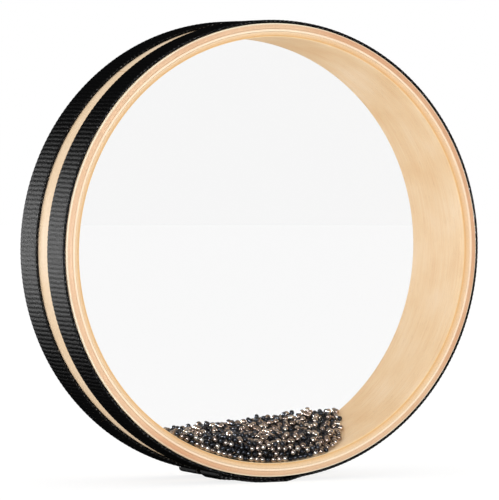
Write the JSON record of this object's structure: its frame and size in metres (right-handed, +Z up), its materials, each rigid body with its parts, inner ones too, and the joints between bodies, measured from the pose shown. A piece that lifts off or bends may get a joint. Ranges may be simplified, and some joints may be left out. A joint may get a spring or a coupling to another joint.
{
  "type": "ocean drum",
  "caption": "Round hand drum with a bent plywood hoop, two clear film heads, black webbing bands and loose steel shot that rolls inside.",
  "frame": {"origin": "on the floor, under the middle of the drum as it stands on its edge", "axes": "+Z up, the drum's axis along Y with the front head facing -Y, +X to the right of someone who looks at the front head"},
  "size_m": [0.2578, 0.0666, 0.259],
  "materials": {
    "outer_ply": "sanded, clear matt lacquer, end grain showing at the crown",
    "middle_ply": "sanded, clear matt lacquer, pale",
    "inner_ply": "sanded, clear matt lacquer",
    "clear_film": "clear glossy polyester film, slightly milky",
    "webbing": "black ribbed woven webbing, matt",
    "bright_shot": "polished steel with a warm plating",
    "dark_shot": "blackened steel, satin"
  },
  "bodies": {
    "drum": {"hoop_outer_ply": "outer_ply", "hoop_middle_ply": "middle_ply", "hoop_inner_ply": "inner_ply", "front_head": "clear_film", "rear_head": "clear_film", "front_band": "webbing", "rear_band": "webbing"},
    "front_shot": {"front_bright_shot": "bright_shot", "front_dark_shot": "dark_shot"},
    "front_inner_shot": {"front_inner_bright_shot": "bright_shot", "front_inner_dark_shot": "dark_shot"},
    "rear_inner_shot": {"rear_inner_bright_shot": "bright_shot", "rear_inner_dark_shot": "dark_shot"},
    "rear_shot": {"rear_bright_shot": "bright_shot", "rear_dark_shot": "dark_shot"}
  },
  "joints": [
    {"name": "front_shot_roll", "type": "hinge", "parent": "drum", "child": "front_shot", "pos_m": [0, 0, 0.13005], "axis": [0, 1, 0], "continuous": true},
    {"name": "front_inner_shot_roll", "type": "hinge", "parent": "drum", "child": "front_inner_shot", "pos_m": [0, 0, 0.13005], "axis": [0, 1, 0], "continuous": true},
    {"name": "rear_inner_shot_roll", "type": "hinge", "parent": "drum", "child": "rear_inner_shot", "pos_m": [0, 0, 0.13005], "axis": [0, 1, 0], "continuous": true},
    {"name": "rear_shot_roll", "type": "hinge", "parent": "drum", "child": "rear_shot", "pos_m": [0, 0, 0.13005], "axis": [0, 1, 0], "continuous": true}
  ]
}
